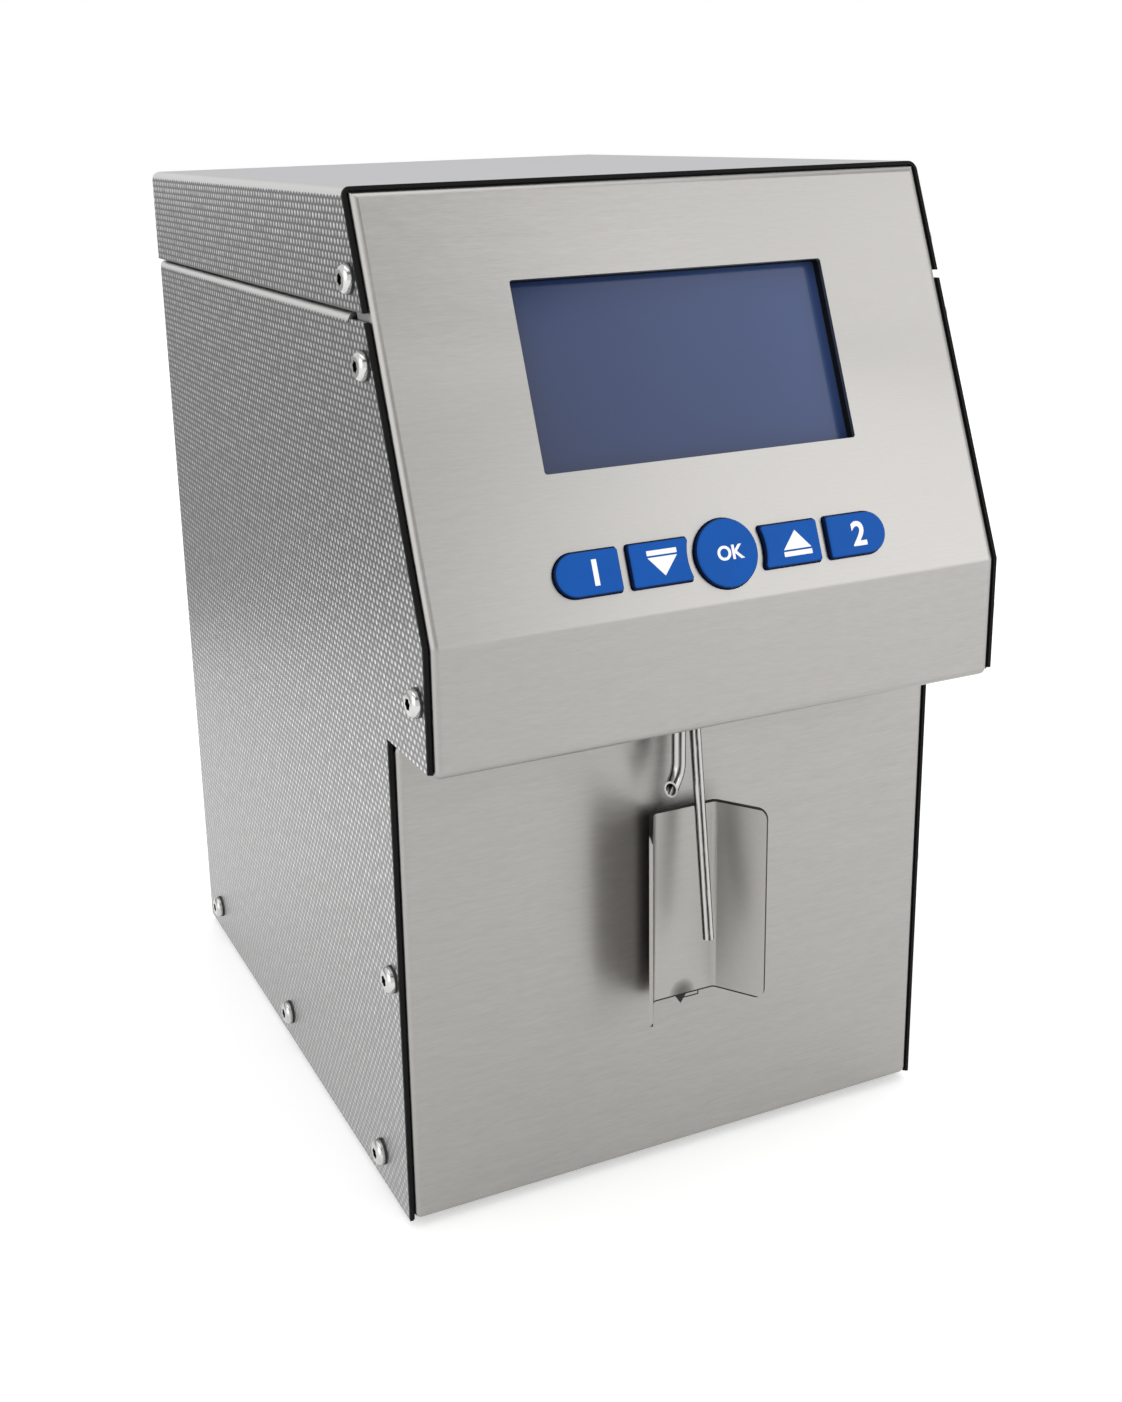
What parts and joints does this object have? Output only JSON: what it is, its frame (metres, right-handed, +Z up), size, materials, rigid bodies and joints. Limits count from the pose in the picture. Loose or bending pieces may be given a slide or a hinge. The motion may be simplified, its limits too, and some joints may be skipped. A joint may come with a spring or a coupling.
{
  "type": "milk analyzer",
  "caption": "Bench milk analyzer: sheet steel cabinet with a sloped head, display and keys over an open sample bay with an intake tube and a cup holder.",
  "frame": {"origin": "on the table under the middle of the whole object's box", "axes": "+Z up, front with display and sample bay towards -Y, rear ports towards +Y"},
  "size_m": [0.1782, 0.2486, 0.288],
  "materials": {
    "cover_steel": "embossed linen pattern, satin",
    "front_steel": "fine horizontal brushing",
    "tray_steel": "plain zinc plated",
    "rear_steel": "satin",
    "seal_rubber": "matt black",
    "foot_rubber": "matt black",
    "bright_screw": "bright nickel plated",
    "nut_steel": "zinc plated",
    "frame_plastic": "matt black",
    "display_pane": "slate blue, glossy",
    "display_can": "tin plated",
    "circuit_board": "green solder mask",
    "key_silicone": "royal blue satin",
    "mat_silicone": "grey silicone",
    "tube_steel": "polished stainless",
    "hose_silicone": "milky silicone",
    "standoff_brass": "nickel free brass",
    "cell_aluminium": "milled",
    "heater_pad": "orange film",
    "pump_plastic": "dark grey",
    "pump_window": "clear",
    "white_plastic": "white",
    "motor_metal": "grey",
    "chip_plastic": "black",
    "ribbon_plastic": "grey ribbon",
    "port_shell": "nickel plated",
    "inlet_plastic": "black",
    "switch_plastic": "black",
    "rocker_plastic": "red"
  },
  "bodies": {
    "cabinet": {"base_tray": "tray_steel", "rubber_feet": "foot_rubber", "left_side_cover": "cover_steel", "right_side_cover": "cover_steel", "top_cover": "cover_steel", "rear_panel": "rear_steel", "head_front_panel": "front_steel", "lower_front_panel": "front_steel", "left_edge_seal": "seal_rubber", "right_edge_seal": "seal_rubber", "top_edge_seal": "seal_rubber", "cover_screws": "bright_screw", "cover_washers": "bright_screw", "clinch_nuts": "nut_steel", "rear_screws": "bright_screw", "display_frame": "frame_plastic", "display_glass": "display_pane", "display_housing": "display_can", "display_board": "circuit_board", "keypad_mat": "mat_silicone", "keypad_board": "circuit_board", "board_standoffs": "standoff_brass", "small_screws": "bright_screw", "intake_tube": "tube_steel", "outlet_tube": "tube_steel", "tube_bushes": "seal_rubber", "sample_holder": "front_steel", "holder_spacers": "nut_steel", "hex_nuts": "nut_steel", "inner_bulkhead": "tray_steel", "sensor_block": "cell_aluminium", "sensor_transducers": "cell_aluminium", "sensor_heater": "heater_pad", "intake_hose": "hose_silicone", "pump_hose": "hose_silicone", "pump_body": "pump_plastic", "pump_cover": "pump_window", "gearbox": "motor_metal", "pump_motor": "motor_metal", "main_board": "circuit_board", "board_parts": "chip_plastic", "display_ribbon": "ribbon_plastic", "serial_port": "port_shell", "serial_posts": "bright_screw", "usb_port": "port_shell", "power_inlet": "inlet_plastic", "switch_body": "switch_plastic", "switch_terminals": "tube_steel"},
    "rotor": {"pump_rotor": "pump_plastic", "roller_pins": "tube_steel", "pump_shaft": "tube_steel"},
    "roller_1": {"pump_roller_1": "white_plastic"},
    "roller_2": {"pump_roller_2": "white_plastic"},
    "roller_3": {"pump_roller_3": "white_plastic"},
    "key_one_cap": {"key_one": "key_silicone"},
    "key_down_cap": {"key_down": "key_silicone"},
    "key_enter_cap": {"key_enter": "key_silicone"},
    "key_up_cap": {"key_up": "key_silicone"},
    "key_two_cap": {"key_two": "key_silicone"},
    "rocker": {"power_rocker": "rocker_plastic"}
  },
  "joints": [
    {"name": "key_one_press", "type": "slide", "parent": "cabinet", "child": "key_one_cap", "axis": [0, 0.9277, -0.3733], "range_m": [0, 0.001], "stiffness_N_per_m": 400, "springref_m": -0.0005},
    {"name": "key_down_press", "type": "slide", "parent": "cabinet", "child": "key_down_cap", "axis": [0, 0.9277, -0.3733], "range_m": [0, 0.001], "stiffness_N_per_m": 400, "springref_m": -0.0005},
    {"name": "key_enter_press", "type": "slide", "parent": "cabinet", "child": "key_enter_cap", "axis": [0, 0.9277, -0.3733], "range_m": [0, 0.001], "stiffness_N_per_m": 400, "springref_m": -0.0005},
    {"name": "key_up_press", "type": "slide", "parent": "cabinet", "child": "key_up_cap", "axis": [0, 0.9277, -0.3733], "range_m": [0, 0.001], "stiffness_N_per_m": 400, "springref_m": -0.0005},
    {"name": "key_two_press", "type": "slide", "parent": "cabinet", "child": "key_two_cap", "axis": [0, 0.9277, -0.3733], "range_m": [0, 0.001], "stiffness_N_per_m": 400, "springref_m": -0.0005},
    {"name": "rocker_tilt", "type": "hinge", "parent": "cabinet", "child": "rocker", "pos_m": [0.058, 0.11728, 0.058], "axis": [1, 0, 0], "range_deg": [0, 20]},
    {"name": "pump_turn", "type": "hinge", "parent": "cabinet", "child": "rotor", "pos_m": [0.0151, 0, 0.0969], "axis": [0, 1, 0], "continuous": true},
    {"name": "roller_1_turn", "type": "hinge", "parent": "rotor", "child": "roller_1", "pos_m": [0.0151, 0, 0.1104], "axis": [0, 1, 0], "continuous": true},
    {"name": "roller_2_turn", "type": "hinge", "parent": "rotor", "child": "roller_2", "pos_m": [0.00341, 0, 0.09015], "axis": [0, 1, 0], "continuous": true},
    {"name": "roller_3_turn", "type": "hinge", "parent": "rotor", "child": "roller_3", "pos_m": [0.02679, 0, 0.09015], "axis": [0, 1, 0], "continuous": true}
  ],
  "couplings": [
    {"joint": "roller_1_turn", "follows": "pump_turn", "ratio": -3.7},
    {"joint": "roller_2_turn", "follows": "pump_turn", "ratio": -3.7},
    {"joint": "roller_3_turn", "follows": "pump_turn", "ratio": -3.7}
  ]
}
